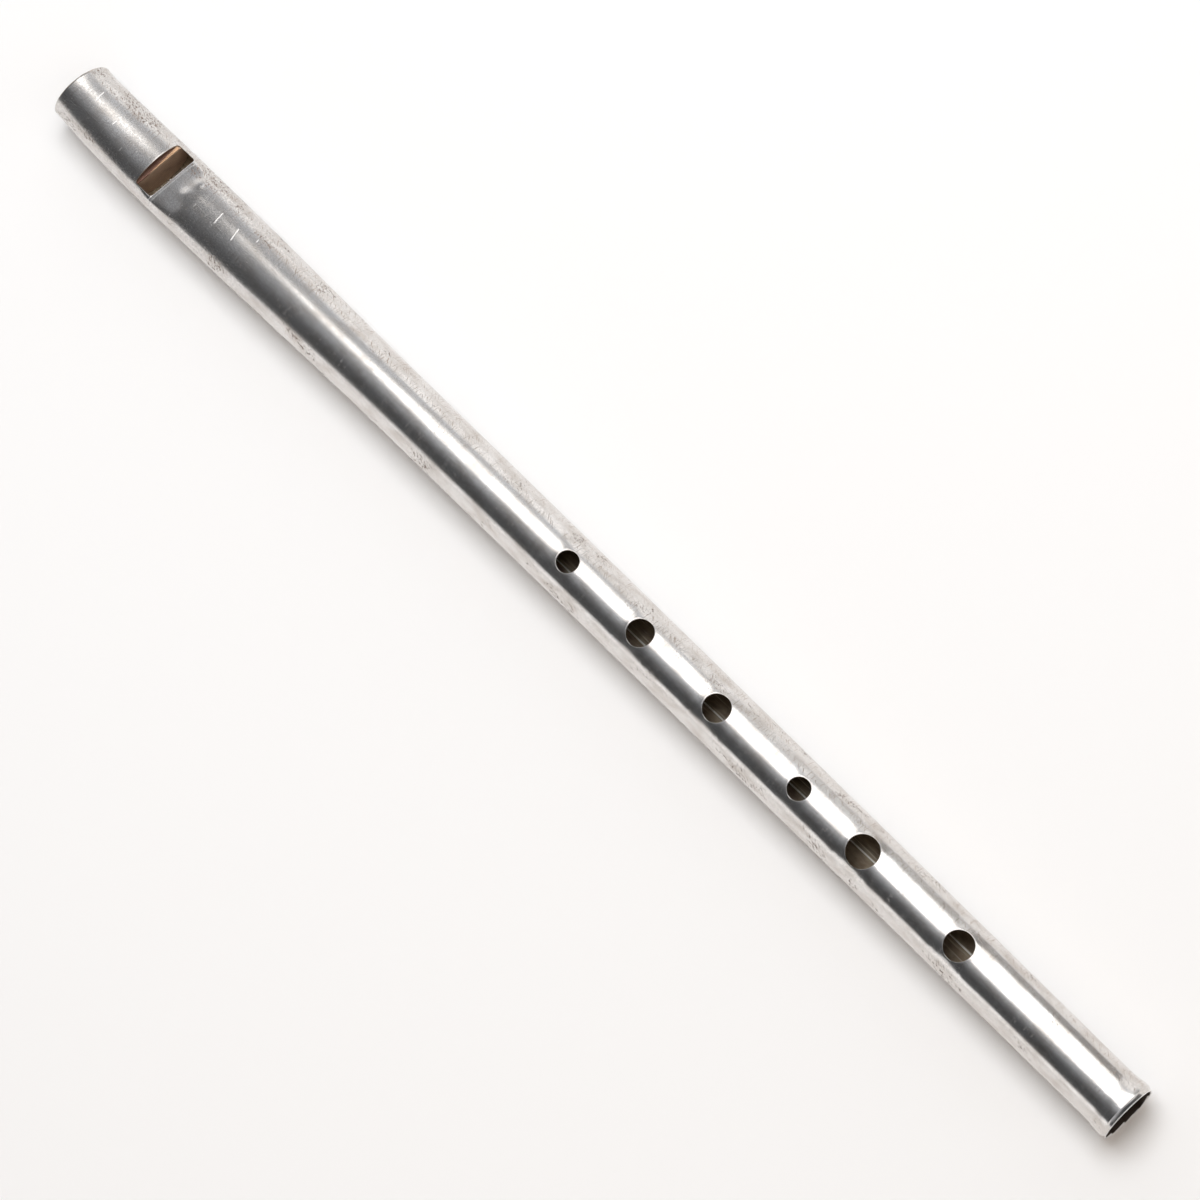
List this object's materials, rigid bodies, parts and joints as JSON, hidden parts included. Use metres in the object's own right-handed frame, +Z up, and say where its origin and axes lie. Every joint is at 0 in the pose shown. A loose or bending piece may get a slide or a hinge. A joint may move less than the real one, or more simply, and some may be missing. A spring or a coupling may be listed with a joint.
{
  "type": "tin whistle",
  "caption": "Straight conical whistle of rolled tinplate with a pressed lip, finger holes in a line, a hemmed foot and a wooden fipple block.",
  "frame": {"origin": "the middle of the blowing end, on the line of the finger holes", "axes": "+X along the bore from the blowing end to the foot; +Z up through the window and the finger holes, opposite the seam; +Y to the left when looking from the blowing end to the foot"},
  "size_m": [0.292, 0.0147, 0.0135],
  "materials": {
    "tinplate": "worn satin tinplate, with fine scratches and dark specks where the tin has gone",
    "block_wood": "bare close-grained softwood, darkened by age",
    "solder": "dull soft solder, slightly lumpy"
  },
  "bodies": {
    "root": {"body_tube": "tinplate", "fipple_block": "block_wood", "seam_solder": "solder"}
  },
  "joints": []
}
